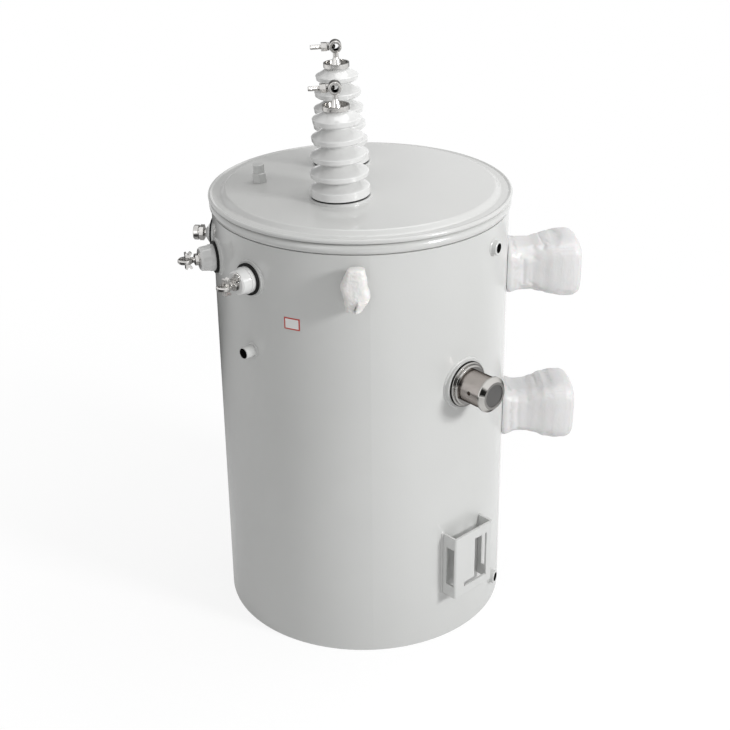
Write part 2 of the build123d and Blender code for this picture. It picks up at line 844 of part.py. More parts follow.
# --- pole support lugs: bent channel with a bolt slot ---
def support_lug(height):
    base = Plane(origin=(0, 0, height - support_height / 2), x_dir=(1, 0, 0), z_dir=up)
    leg_start = sqrt(tank_radius**2 - (support_width / 2) ** 2) - support_sheet
    with BuildPart() as lug:
        with BuildSketch(base):
            with Locations((0, leg_start)):
                Rectangle(support_width, support_face - leg_start, align=(Align.CENTER, Align.MIN))
            fillet(vertices().group_by(Axis.Y)[-1], support_bend)
            with Locations((0, leg_start)):
                Rectangle(
                    support_width - 2 * support_sheet,
                    support_face - support_sheet - leg_start,
                    align=(Align.CENTER, Align.MIN),
                    mode=Mode.SUBTRACT,
                )
        extrude(amount=support_height)
        with BuildSketch(wall_plane(support_azimuth, height, support_face - support_sheet)):
            SlotOverall(support_slot_depth, support_slot_width, rotation=90)
        extrude(amount=support_sheet, mode=Mode.SUBTRACT)
        cut_tank()
    return lug


def support_wrap(height):
    """Stretch film round a support lug, as one closed solid with room for the lug."""
    with BuildPart() as wrap:
        for reach, width, depth, corner in support_wrap_sections:
            with BuildSketch(wall_plane(support_azimuth, height, tank_radius + reach)):
                RectangleRounded(width, depth, corner)
        loft()
        Cylinder(
            tank_radius + wrap_wall_gap,
            tank_height,
            align=(Align.CENTER, Align.CENTER, Align.MIN),
            mode=Mode.SUBTRACT,
        )
        with BuildSketch(wall_plane(support_azimuth, height, tank_radius / 2)):
            Rectangle(support_width + 2 * wrap_margin, support_height + 2 * wrap_margin)
        extrude(amount=support_face + wrap_margin - tank_radius / 2, mode=Mode.SUBTRACT)
    return wrap


for label, height in (("lower", support_lower_height), ("upper", support_upper_height)):
    save(support_lug(height), f"support_lug_{label}")
    save(support_wrap(height), f"support_wrap_{label}")

# --- relief plug: hexagon with a round cap, square to the dome ---
plug_foot = Vector(plug_x, plug_y, dome_height(sqrt(plug_x**2 + plug_y**2)))
plug_plane = Plane(
    origin=plug_foot,
    x_dir=(1, 0, 0),
    z_dir=plug_foot - Vector(0, 0, dome_top - dome_radius),
)
with BuildPart() as relief_plug:
    with BuildSketch(plug_plane):
        RegularPolygon(plug_hex / 2, 6, major_radius=False)
    extrude(amount=plug_hex_height)
    chamfer(faces().sort_by(Axis.Z)[-1].edges(), plug_hex_edge)
    with BuildSketch(plug_plane.offset(plug_hex_height)):
        Circle(plug_cap_radius)
    extrude(amount=plug_cap_height)
    fillet(faces().sort_by(Axis.Z)[-1].edges(), plug_cap_rounding)
save(relief_plug, "relief_plug")
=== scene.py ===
import json
from math import acos, atan2, cos, pi, radians, sin, sqrt

import bpy
from mathutils import Euler, Matrix, Vector


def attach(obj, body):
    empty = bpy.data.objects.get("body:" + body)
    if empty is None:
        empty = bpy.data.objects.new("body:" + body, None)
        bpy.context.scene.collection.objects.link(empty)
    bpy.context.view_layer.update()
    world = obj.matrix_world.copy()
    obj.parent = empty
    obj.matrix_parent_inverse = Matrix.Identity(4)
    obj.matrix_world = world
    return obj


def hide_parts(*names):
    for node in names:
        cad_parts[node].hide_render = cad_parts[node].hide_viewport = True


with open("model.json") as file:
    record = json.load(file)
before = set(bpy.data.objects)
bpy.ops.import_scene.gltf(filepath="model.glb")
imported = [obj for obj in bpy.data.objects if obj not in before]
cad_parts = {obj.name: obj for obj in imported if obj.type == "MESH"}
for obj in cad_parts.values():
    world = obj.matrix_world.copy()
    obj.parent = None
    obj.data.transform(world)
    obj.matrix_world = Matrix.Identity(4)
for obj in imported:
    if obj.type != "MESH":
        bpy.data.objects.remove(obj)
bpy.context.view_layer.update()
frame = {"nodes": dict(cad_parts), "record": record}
nodes = frame["nodes"]
print("frame loaded", len(nodes), "nodes")

tankRadius = 0.260


def deselectAll():
    if bpy.context.object and bpy.context.object.mode != "OBJECT":
        bpy.ops.object.mode_set(mode="OBJECT")
    bpy.ops.object.select_all(action="DESELECT")


def makeActive(piece):
    deselectAll()
    piece.select_set(True)
    bpy.context.view_layer.objects.active = piece


def addModifier(piece, kind, **values):
    modifier = piece.modifiers.new(kind.lower(), kind)
    for key, value in values.items():
        setattr(modifier, key, value)
    return modifier


def applyAll(piece):
    makeActive(piece)
    for modifier in list(piece.modifiers):
        bpy.ops.object.modifier_apply(modifier=modifier.name)


def freeze(piece):
    # put the place of a piece into its mesh
    makeActive(piece)
    bpy.ops.object.transform_apply(location=True, rotation=True, scale=True)


def placeAt(piece, matrix):
    piece.matrix_world = matrix
    freeze(piece)


def cleanNormals(piece):
    makeActive(piece)
    bpy.ops.object.mode_set(mode="EDIT")
    bpy.ops.mesh.select_all(action="SELECT")
    bpy.ops.mesh.remove_doubles(threshold=0.00001)
    bpy.ops.mesh.normals_make_consistent(inside=False)
    bpy.ops.object.mode_set(mode="OBJECT")


def finishPiece(piece, name, material, angle=40):
    piece.name = name
    piece.data.name = name
    if material:
        piece.data.materials.clear()
        piece.data.materials.append(material)
    makeActive(piece)
    bpy.ops.object.shade_smooth_by_angle(angle=radians(angle))
    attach(piece, "root")


def roughen(piece, name, scale, strength):
    # move the skin of a piece in and out by a cloudy pattern
    texture = bpy.data.textures.new(name, "CLOUDS")
    texture.noise_scale = scale
    addModifier(piece, "DISPLACE", texture=texture, strength=strength, texture_coords="LOCAL")
    applyAll(piece)


def outward(azimuth):
    return Vector((cos(radians(azimuth)), sin(radians(azimuth)), 0))


def wallMatrix(azimuth, height, reach):
    # local x runs along the wall, y up, z out of it
    out = outward(azimuth)
    side = Vector((-out.y, out.x, 0))
    turn = Matrix((side, Vector((0, 0, 1)), out)).transposed().to_4x4()
    return Matrix.Translation(out * reach + Vector((0, 0, height))) @ turn


# shader groups, which put out masks, heights and distances
def newGroup(name, inputs, outputs):
    group = bpy.data.node_groups.new(name, "ShaderNodeTree")
    for label, default in inputs:
        kind = "NodeSocketVector" if isinstance(default, tuple) else "NodeSocketFloat"
        socket = group.interface.new_socket(label, in_out="INPUT", socket_type=kind)
        socket.default_value = default
    for label in outputs:
        group.interface.new_socket(label, in_out="OUTPUT", socket_type="NodeSocketFloat")
    return group, group.nodes.new("NodeGroupInput"), group.nodes.new("NodeGroupOutput")


def addMath(tree, operation, first, second=None):
    node = tree.nodes.new("ShaderNodeMath")
    node.operation = operation
    for socket, value in ((node.inputs[0], first), (node.inputs[1], second)):
        if isinstance(value, (int, float)):
            socket.default_value = value
        elif value:
            tree.links.new(value, socket)
    return node.outputs["Value"]


def makeMottleGroup():
    # soft uneven patches and a fine skin, from the piece's own coordinates
    group, inside, out = newGroup(
        "mottle",
        [("Patch Scale", 4.0), ("Skin Scale", 300.0), ("Skin Share", 0.4)],
        ["Patch", "Height"],
    )
    place = group.nodes.new("ShaderNodeTexCoord")
    patch = group.nodes.new("ShaderNodeTexNoise")
    patch.inputs["Detail"].default_value = 3
    skin = group.nodes.new("ShaderNodeTexNoise")
    skin.inputs["Detail"].default_value = 1
    mix = group.nodes.new("ShaderNodeMix")
    link = group.links.new
    link(place.outputs["Object"], patch.inputs["Vector"])
    link(place.outputs["Object"], skin.inputs["Vector"])
    link(inside.outputs["Patch Scale"], patch.inputs["Scale"])
    link(inside.outputs["Skin Scale"], skin.inputs["Scale"])
    link(inside.outputs["Skin Share"], mix.inputs["Factor"])
    link(patch.outputs["Fac"], mix.inputs["A"])
    link(skin.outputs["Fac"], mix.inputs["B"])
    link(patch.outputs["Fac"], out.inputs["Patch"])
    link(mix.outputs["Result"], out.inputs["Height"])
    return group


def makeDustGroup():
    # a thin film of dust on what faces up, broken by noise
    group, inside, out = newGroup("dust", [("Amount", 0.3), ("Scale", 12.0)], ["Mask"])
    place = group.nodes.new("ShaderNodeTexCoord")
    normal = group.nodes.new("ShaderNodeNewGeometry")
    split = group.nodes.new("ShaderNodeSeparateXYZ")
    noise = group.nodes.new("ShaderNodeTexNoise")
    noise.inputs["Detail"].default_value = 6
    facing = group.nodes.new("ShaderNodeMapRange")
    facing.inputs["From Min"].default_value = 0.3
    facing.inputs["From Max"].default_value = 1.0
    link = group.links.new
    link(place.outputs["Object"], noise.inputs["Vector"])
    link(inside.outputs["Scale"], noise.inputs["Scale"])
    link(normal.outputs["Normal"], split.inputs["Vector"])
    link(split.outputs["Z"], facing.inputs["Value"])
    broken = addMath(group, "MULTIPLY", facing.outputs["Result"], noise.outputs["Fac"])
    link(addMath(group, "MULTIPLY", broken, inside.outputs["Amount"]), out.inputs["Mask"])
    return group


def makeAxisGroup():
    # distance along an axis through a centre, and distance from that axis
    group, inside, out = newGroup(
        "axisPlace", [("Direction", (1.0, 0.0, 0.0)), ("Centre", (0.0, 0.0, 0.0))], ["Reach", "Radius"]
    )
    place = group.nodes.new("ShaderNodeTexCoord")
    drop = group.nodes.new("ShaderNodeVectorMath")
    drop.operation = "SUBTRACT"
    along = group.nodes.new("ShaderNodeVectorMath")
    along.operation = "DOT_PRODUCT"
    across = group.nodes.new("ShaderNodeVectorMath")
    across.operation = "CROSS_PRODUCT"
    length = group.nodes.new("ShaderNodeVectorMath")
    length.operation = "LENGTH"
    link = group.links.new
    link(place.outputs["Object"], drop.inputs[0])
    link(inside.outputs["Centre"], drop.inputs[1])
    for node in (along, across):
        link(drop.outputs["Vector"], node.inputs[0])
        link(inside.outputs["Direction"], node.inputs[1])
    link(across.outputs["Vector"], length.inputs[0])
    link(along.outputs["Value"], out.inputs["Reach"])
    link(length.outputs["Value"], out.inputs["Radius"])
    return group


def makeFoldGroup():
    # fine pleats of thin film: bands that wander, thinned out by patches
    group, inside, out = newGroup(
        "filmFolds", [("Stretch", (1.0, 1.0, 1.0)), ("Scale", 60.0), ("Wander", 4.0)], ["Fold"]
    )
    place = group.nodes.new("ShaderNodeTexCoord")
    stretch = group.nodes.new("ShaderNodeMapping")
    pleat = group.nodes.new("ShaderNodeTexNoise")
    pleat.inputs["Detail"].default_value = 4
    patches = group.nodes.new("ShaderNodeTexNoise")
    patches.inputs["Scale"].default_value = 14
    link = group.links.new
    link(place.outputs["Object"], stretch.inputs["Vector"])
    link(inside.outputs["Stretch"], stretch.inputs["Scale"])
    link(stretch.outputs["Vector"], pleat.inputs["Vector"])
    link(place.outputs["Object"], patches.inputs["Vector"])
    link(inside.outputs["Scale"], pleat.inputs["Scale"])
    link(inside.outputs["Wander"], pleat.inputs["Distortion"])
    link(addMath(group, "MULTIPLY", pleat.outputs["Fac"], patches.outputs["Fac"]), out.inputs["Fold"])
    return group


mottleGroup = makeMottleGroup()
dustGroup = makeDustGroup()
axisGroup = makeAxisGroup()
foldGroup = makeFoldGroup()


def newMaterial(name):
    material = bpy.data.materials.new(name)
    material.use_nodes = True
    return material, material.node_tree, material.node_tree.nodes["Principled BSDF"]


def addGroup(tree, group, **values):
    node = tree.nodes.new("ShaderNodeGroup")
    node.node_tree = group
    for key, value in values.items():
        node.inputs[key].default_value = value
    return node


def addRange(tree, source, low, high, fromLow=0.25, fromHigh=0.75):
    node = tree.nodes.new("ShaderNodeMapRange")
    for label, value in (("From Min", fromLow), ("From Max", fromHigh), ("To Min", low), ("To Max", high)):
        node.inputs[label].default_value = value
    tree.links.new(source, node.inputs["Value"])
    return node.outputs["Result"]


def addColourMix(tree, factor, first, second):
    # either colour may be a value or another node's output
    node = tree.nodes.new("ShaderNodeMix")
    node.data_type = "RGBA"
    tree.links.new(factor, node.inputs["Factor"])
    for socket, colour in ((node.inputs[6], first), (node.inputs[7], second)):
        if isinstance(colour, tuple):
            socket.default_value = (*colour, 1)
        else:
            tree.links.new(colour, socket)
    return node.outputs[2]


def addBump(tree, height, distance, under=None):
    node = tree.nodes.new("ShaderNodeBump")
    node.inputs["Strength"].default_value = 1.0
    node.inputs["Distance"].default_value = distance
    tree.links.new(height, node.inputs["Height"])
    if under:
        tree.links.new(under, node.inputs["Normal"])
    return node.outputs["Normal"]


def addBevel(tree, radius):
    # edges catch the light as if rounded
    node = tree.nodes.new("ShaderNodeBevel")
    node.samples = 3
    node.inputs["Radius"].default_value = radius
    return node.outputs["Normal"]


def addMottle(tree, patch, skin, share):
    return addGroup(tree, mottleGroup, **{"Patch Scale": patch, "Skin Scale": skin, "Skin Share": share})


def addBoreShade(tree, base, bore, colour):
    # bore is the axis, centre and radius of a hole whose wall is painted near-black: painted shade inside the
    # hole
    direction, centre, radius = bore
    axis = addGroup(tree, axisGroup, Direction=tuple(direction), Centre=tuple(centre))
    inBore = addMath(tree, "LESS_THAN", axis.outputs["Radius"], radius)
    return addColourMix(tree, inBore, base, colour)


def linkFinish(tree, shader, base, mottle, roughness):
    # colour, and a roughness that varies with the patches
    tree.links.new(base, shader.inputs["Base Color"])
    tree.links.new(addRange(tree, mottle.outputs["Patch"], *roughness), shader.inputs["Roughness"])


def setCoat(shader, weight, roughness):
    shader.inputs["Coat Weight"].default_value = weight
    shader.inputs["Coat Roughness"].default_value = roughness


# materials: mottle is always patch scale, skin scale and the skin's share; coat is weight and roughness
paintLook = {
    "colour": (0.62, 0.625, 0.615),
    "shade": (0.575, 0.58, 0.57),
    "dust": (0.66, 0.65, 0.63),
    "dustAmount": 0.3,
    "dustScale": 9.0,
    "mottle": (5.0, 260.0, 0.35),
    "roughness": (0.16, 0.24),
    "orangePeel": 0.0002,
    "edge": 0.0009,
    "coat": (0.3, 0.06),
    # wall of a threaded hole, near-black: painted shade in the hole, on top of the bare thread's own darker
    # tone
    "bore": (0.012, 0.012, 0.011),
}


def makePaint(name, bore=None):
    look = paintLook
    material, tree, shader = newMaterial(name)
    mottle = addMottle(tree, *look["mottle"])
    dust = addGroup(tree, dustGroup, Amount=look["dustAmount"], Scale=look["dustScale"])
    base = addColourMix(tree, mottle.outputs["Patch"], look["colour"], look["shade"])
    base = addColourMix(tree, dust.outputs["Mask"], base, look["dust"])
    if bore:
        base = addBoreShade(tree, base, bore, look["bore"])
    linkFinish(tree, shader, base, mottle, look["roughness"])
    under = addBevel(tree, look["edge"])
    bump = addBump(tree, mottle.outputs["Height"], look["orangePeel"], under=under)
    tree.links.new(bump, shader.inputs["Normal"])
    setCoat(shader, *look["coat"])
    return material


tankPaint = makePaint("tankPaint")
# fittings whose threaded holes get painted shade on their walls
boreFittings = {  # azimuth, height and bore radius
    "ground_boss_upper": (56, 0.732, 0.0086),
    "ground_boss_lower": (63, 0.054, 0.0086),
    "pipe_coupling": (-48.5, 0.5705, 0.0091),
}
borePaints = {}
for node, (azimuth, height, radius) in boreFittings.items():
    borePaints[node] = makePaint(node + "Paint", (outward(azimuth), (0, 0, height), radius))

porcelainLook = {
    "colour": (0.74, 0.742, 0.735),
    "shade": (0.69, 0.692, 0.685),
    "mottle": (22.0, 420.0, 0.25),
    "roughness": (0.08, 0.16),
    "ripple": 0.0002,
    "coat": (0.6, 0.03),
}
porcelain, tree, shader = newMaterial("porcelainGlaze")
mottle = addMottle(tree, *porcelainLook["mottle"])
base = addColourMix(tree, mottle.outputs["Patch"], porcelainLook["colour"], porcelainLook["shade"])
linkFinish(tree, shader, base, mottle, porcelainLook["roughness"])
tree.links.new(addBump(tree, mottle.outputs["Height"], porcelainLook["ripple"]), shader.inputs["Normal"])
setCoat(shader, *porcelainLook["coat"])

rubberLook = {
    "colour": (0.008, 0.008, 0.008),
    "worn": (0.016, 0.016, 0.016),
    "mottle": (60.0, 900.0, 0.6),
    "roughness": (0.5, 0.7),
    "grain": 0.0002,
    "specular": 0.15,
}
gasketRubber, tree, shader = newMaterial("gasketRubber")
mottle = addMottle(tree, *rubberLook["mottle"])
base = addColourMix(tree, mottle.outputs["Patch"], rubberLook["colour"], rubberLook["worn"])
linkFinish(tree, shader, base, mottle, rubberLook["roughness"])
tree.links.new(addBump(tree, mottle.outputs["Height"], rubberLook["grain"]), shader.inputs["Normal"])
shader.inputs["Specular IOR Level"].default_value = rubberLook["specular"]

metalLooks = {
    "plated": {
        "colour": (0.84, 0.825, 0.805),
        "dull": (0.48, 0.47, 0.455),
        "mottle": (90.0, 700.0, 0.4),
        "roughness": (0.08, 0.20),
        "dent": 0.0003,
    },
    "polished": {
        "colour": (0.58, 0.57, 0.55),
        "dull": (0.44, 0.43, 0.42),
        "mottle": (30.0, 700.0, 0.4),
        "roughness": (0.07, 0.14),
        "dent": 0.0001,
    },
    "steel": {
        "colour": (0.16, 0.155, 0.15),
        "dull": (0.07, 0.068, 0.065),
        "mottle": (60.0, 700.0, 0.4),
        "roughness": (0.25, 0.42),
        "dent": 0.0003,
    },
}
metalEdge = 0.0005
metalEdgeTint = (0.22, 0.22, 0.22, 1)
# near-black wall of a clamp eye's bore: painted shade in the bore
metalBoreShade = (0.02, 0.019, 0.018)


def makeMetal(name, kind, bore=None):
    look = metalLooks[kind]
    material, tree, shader = newMaterial(name)
    mottle = addMottle(tree, *look["mottle"])
    base = addColourMix(tree, mottle.outputs["Patch"], look["colour"], look["dull"])
    if bore:
        base = addBoreShade(tree, base, bore, metalBoreShade)
    linkFinish(tree, shader, base, mottle, look["roughness"])
    bump = addBump(tree, mottle.outputs["Height"], look["dent"], under=addBevel(tree, metalEdge))
    tree.links.new(bump, shader.inputs["Normal"])
    shader.inputs["Metallic"].default_value = 1.0
    shader.inputs["Specular Tint"].default_value = metalEdgeTint
    return material


bushingSpec = {
    "spacing": 0.186,
    "lineY": -0.033,
    "lineTurn": -3.0,
    "lean": 2.0,
    "padTop": 0.8148,
    "eyes": {"front": (1, 0.1832), "rear": (-1, 0.2069)},  # side of the tank, height over the seat
    "eyeBore": 0.0065,
}


def bushingSeat(side):
    # where a high-voltage bushing stands, and how it leans
    turn, lean = radians(bushingSpec["lineTurn"]), radians(bushingSpec["lean"])
    offset = side * bushingSpec["spacing"] / 2
    up = Vector((0, -sin(lean), cos(lean)))
    across = Vector((1, 0, 0))
    turned = Matrix((across, up.cross(across), up)).transposed().to_4x4()
    place = Vector((offset * cos(turn), bushingSpec["lineY"] + offset * sin(turn), bushingSpec["padTop"]))
    return Matrix.Translation(place) @ turned


platedMetal = makeMetal("platedMetal", "plated")
# each eye's bore wall is painted near-black: painted shade in the bore
eyeMetals = {}
for label, (side, eyeHeight) in bushingSpec["eyes"].items():
    centre = bushingSeat(side) @ Vector((0, 0, eyeHeight))
    eyeBore = ((1, 0, 0), centre, bushingSpec["eyeBore"])
    eyeMetals[label] = makeMetal(f"eyeMetal_{label}", "plated", bore=eyeBore)
polishedMetal = makeMetal("polishedMetal", "polished")
steelMetal = makeMetal("darkSteel", "steel")

# the tap changer's cap: brushed body, polished collar, dull end face
capLook = {
    "azimuth": 39,
    "height": 0.508,
    "collarReach": 0.3189,
    "faceReach": 0.3260,
    "faceRadius": 0.0203,
    "body": (0.52, 0.48, 0.455),
    "collar": (0.68, 0.665, 0.64),
    "face": (0.34, 0.335, 0.33),
    "worn": (0.86, 0.86, 0.86),
    "mottle": (40.0, 900.0, 0.4),
    "roughness": 0.20,
    "collarPolish": 0.12,
    "faceDulling": 0.20,
    "markScale": 1800,
    "markDepth": 0.00006,
    "edgeTint": (0.05, 0.05, 0.05, 1),
}
capMetal, tree, shader = newMaterial("capMetal")
direction = outward(capLook["azimuth"])
axis = addGroup(tree, axisGroup, Direction=tuple(direction), Centre=(0, 0, capLook["height"]))
reach, radius = axis.outputs["Reach"], axis.outputs["Radius"]
mottle = addMottle(tree, *capLook["mottle"])
inCollar = addMath(tree, "GREATER_THAN", reach, capLook["collarReach"])
inFace = addMath(
    tree,
    "MULTIPLY",
    addMath(tree, "GREATER_THAN", reach, capLook["faceReach"]),
    addMath(tree, "LESS_THAN", radius, capLook["faceRadius"]),
)
base = addColourMix(tree, inCollar, capLook["body"], capLook["collar"])
base = addColourMix(tree, inFace, base, capLook["face"])
worn = addColourMix(tree, mottle.outputs["Patch"], capLook["worn"], (1.0, 1.0, 1.0))
tint = tree.nodes.new("ShaderNodeMix")
tint.data_type = "RGBA"
tint.blend_type = "MULTIPLY"
tint.inputs["Factor"].default_value = 1.0
tree.links.new(base, tint.inputs[6])
tree.links.new(worn, tint.inputs[7])
tree.links.new(tint.outputs[2], shader.inputs["Base Color"])
polish = addMath(tree, "MULTIPLY", inCollar, capLook["collarPolish"])
satin = addMath(tree, "SUBTRACT", capLook["roughness"], polish)
satin = addMath(tree, "ADD", satin, addMath(tree, "MULTIPLY", inFace, capLook["faceDulling"]))
tree.links.new(satin, shader.inputs["Roughness"])
# turning marks run round the axis
marks = tree.nodes.new("ShaderNodeTexNoise")
marks.noise_dimensions = "1D"
marks.inputs["Scale"].default_value = capLook["markScale"]
tree.links.new(reach, marks.inputs["W"])
tree.links.new(addBump(tree, marks.outputs["Fac"], capLook["markDepth"]), shader.inputs["Normal"])
shader.inputs["Metallic"].default_value = 1.0
shader.inputs["Specular Tint"].default_value = capLook["edgeTint"]

filmLooks = {
    "woundFilm": {  # pleats run round the lug
        "colour": (0.70, 0.695, 0.695),
        "fold": (0.66, 0.655, 0.655),
        "stretch": (0.25, 1.6, 0.25),
        "scale": 70.0,
        "depth": 0.0009,
        "roughness": (0.38, 0.52),
    },
    "bagFilm": {  # creases run every way
        "colour": (0.80, 0.79, 0.775),
        "fold": (0.74, 0.73, 0.715),
        "stretch": (1.3, 1.3, 0.6),
        "scale": 48.0,
        "depth": 0.0034,
        "roughness": (0.34, 0.50),
    },
}
filmShared = {
    "mottle": (40.0, 260.0, 0.3),
    "wander": 0.6,
    "skinDepth": 0.0006,
    "coat": (0.12, 0.15),
    "subsurface": 0.12,
    "subsurfaceScale": 0.008,
}


def makeFilm(name):
    look = filmLooks[name]
    material, tree, shader = newMaterial(name)
    mottle = addMottle(tree, *filmShared["mottle"])
    folds = addGroup(
        tree, foldGroup, Stretch=look["stretch"], Scale=look["scale"], Wander=filmShared["wander"]
    )
    base = addColourMix(tree, mottle.outputs["Patch"], look["colour"], look["fold"])
    linkFinish(tree, shader, base, mottle, look["roughness"])
    under = addBump(tree, mottle.outputs["Height"], filmShared["skinDepth"])
    tree.links.new(addBump(tree, folds.outputs["Fold"], look["depth"], under=under), shader.inputs["Normal"])
    setCoat(shader, *filmShared["coat"])
    shader.inputs["Subsurface Weight"].default_value = filmShared["subsurface"]
    shader.inputs["Subsurface Scale"].default_value = filmShared["subsurfaceScale"]
    return material


woundFilm = makeFilm("woundFilm")
bagFilm = makeFilm("bagFilm")

labelLook = {
    "white": (0.80, 0.80, 0.79),
    "aged": (0.74, 0.74, 0.73),
    "red": (0.55, 0.05, 0.04),
    "faded": (0.48, 0.07, 0.05),
    "mottle": (80.0, 900.0, 0.5),
    "roughness": (0.32, 0.45),
}


def makePrint(name, colour, aged):
    material, tree, shader = newMaterial(name)
    mottle = addMottle(tree, *labelLook["mottle"])
    base = addColourMix(tree, mottle.outputs["Patch"], colour, aged)
    linkFinish(tree, shader, base, mottle, labelLook["roughness"])
    return material


labelWhite = makePrint("labelWhite", labelLook["white"], labelLook["aged"])
labelRed = makePrint("labelRed", labelLook["red"], labelLook["faded"])

nodeMaterials = {
    "tank_paint": tankPaint,
    "gasket_rubber": gasketRubber,
    "porcelain": porcelain,
    "bright_metal": platedMetal,
    "plastic_film": woundFilm,
    "core_fill": gasketRubber,
}
ownMaterials = {
    "tap_flange": polishedMetal,
    "tap_cap": capMetal,
    "relief_plug": tankPaint,
    "hv_clamp_front": eyeMetals["front"],
    "hv_clamp_rear": eyeMetals["rear"],
    **borePaints,
}
slotOf = {entry["node"]: entry["material_slot"] for entry in frame["record"]["subparts"]}
for name, piece in nodes.items():
    piece.data.materials.clear()
    piece.data.materials.append(ownMaterials.get(name, nodeMaterials[slotOf[name]]))
print("materials done")


clothShared = {
    "quality": 5,
    "mass": 0.05,
    "tension_stiffness": 20,
    "compression_stiffness": 20,
    "shear_stiffness": 8,
}


def between(sections, level):
    # values at a level, eased from one section to the next
    for low, high in zip(sections, sections[1:]):
        if level <= high[0]:
            break
    share = min(1.0, max(0.0, (level - low[0]) / (high[0] - low[0])))
    share = share * share * (3 - 2 * share) * 0.5 + share * 0.5
    return [first + (second - first) * share for first, second in zip(low[1:], high[1:])]


def sleeve(sections, capShare=0.12):
    # a closed form round the z axis, its two ends closed by flat caps
    deselectAll()
    bpy.ops.mesh.primitive_uv_sphere_add(segments=96, ring_count=72, radius=1)
    piece = bpy.context.object
    first, last = sections[0][0], sections[-1][0]
    for vertex in piece.data.vertices:
        share = acos(max(-1.0, min(1.0, -vertex.co.z))) / pi
        run = min(1.0, max(0.0, (share - capShare) / (1 - 2 * capShare)))
        level = first + (last - first) * run
        halfWidth, halfDepth, square = between(sections, level)
        angle = atan2(vertex.co.y, vertex.co.x)
        across, deep = abs(cos(angle)), abs(sin(angle))
        reach = (across**square + deep**square) ** (-1 / square)
        reach *= min(1.0, share / capShare, (1 - share) / capShare)
        vertex.co = (halfWidth * reach * cos(angle), halfDepth * reach * sin(angle), level)
    cleanNormals(piece)
    return piece


def evenMesh(piece, voxel):
    addModifier(piece, "REMESH", mode="VOXEL", voxel_size=voxel, use_smooth_shade=True)
    applyAll(piece)


def creaseAsCloth(piece, spec, held):
    # the sheet grows a little on its form and buckles; held says which points stay
    group = piece.vertex_groups.new(name="held")
    for vertex in piece.data.vertices:
        group.add([vertex.index], held(vertex.co), "REPLACE")
    start = [vertex.co.copy() for vertex in piece.data.vertices]
    cloth = addModifier(piece, "CLOTH")
    settings = cloth.settings
    for key, value in clothShared.items():
        setattr(settings, key, value)
    settings.bending_stiffness = spec["stiffness"]
    settings.shrink_min = -spec["growth"]
    settings.use_pressure = True
    settings.uniform_pressure_force = spec["pressure"]
    settings.vertex_group_mass = "held"
    settings.effector_weights.gravity = 0
    for step in range(1, spec["frames"] + 1):
        bpy.context.scene.frame_set(step)
    applyAll(piece)
    bpy.context.scene.frame_set(1)
    piece.vertex_groups.clear()
    for vertex, rest in zip(piece.data.vertices, start):
        shift = vertex.co - rest
        if shift.length > spec["cap"]:
            vertex.co = rest + shift * (spec["cap"] / shift.length)


filmGap = 0.0008  # between a film and the wall


def smoothOnce(piece):
    addModifier(piece, "SUBSURF", levels=1, render_levels=1)
    applyAll(piece)


def keepOffWall(piece):
    for vertex in piece.data.vertices:
        flat = Vector((vertex.co.x, vertex.co.y))
        least = tankRadius + filmGap
        if flat.length < least:
            flat *= least / flat.length
            vertex.co.x, vertex.co.y = flat


supportFilm = {
    "azimuth": 90,
    "films": {"lower": (0.359, 1.06), "upper": (0.6448, 1.0)},  # height, fullness
    "sections": (  # level, half width, half depth, squareness
        (-0.014, 0.050, 0.0400, 5.0),
        (0.002, 0.052, 0.0435, 5.0),
        (0.010, 0.049, 0.0415, 5.0),
        (0.026, 0.0445, 0.0400, 5.0),
        (0.042, 0.0450, 0.0405, 5.0),
        (0.060, 0.0490, 0.0440, 4.8),
        (0.078, 0.0540, 0.0495, 4.5),
        (0.096, 0.0565, 0.0520, 4.3),
        (0.112, 0.0565, 0.0520, 4.2),
        (0.122, 0.0555, 0.0500, 4.0),
        (0.128, 0.0510, 0.0455, 3.8),
        (0.130, 0.0430, 0.0380, 3.4),
    ),
    "voxel": 0.0034,
    "heldReach": 0.006,  # what lies this close to the wall stays put
    "folds": (0.03, 0.0010),  # scale, strength
    "cloth": {"frames": 14, "growth": 0.02, "pressure": 0.6, "stiffness": 0.1, "cap": 0.0015},
}


def buildSupportFilm(label):
    spec = supportFilm
    height, fullness = spec["films"][label]
    piece = sleeve([(level, wide, deep * fullness, square) for level, wide, deep, square in spec["sections"]])
    evenMesh(piece, spec["voxel"])
    placeAt(piece, wallMatrix(spec["azimuth"], height, tankRadius))
    wallEnd = tankRadius + spec["heldReach"]
    creaseAsCloth(piece, spec["cloth"], lambda place: 1.0 if place.y < wallEnd else 0.0)
    keepOffWall(piece)
    smoothOnce(piece)
    roughen(piece, f"supportFolds_{label}", *spec["folds"])
    finishPiece(piece, f"supportFilm_{label}", woundFilm, angle=60)
    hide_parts(f"support_wrap_{label}")


for label in supportFilm["films"]:
    buildSupportFilm(label)
    print("support lug film", label)

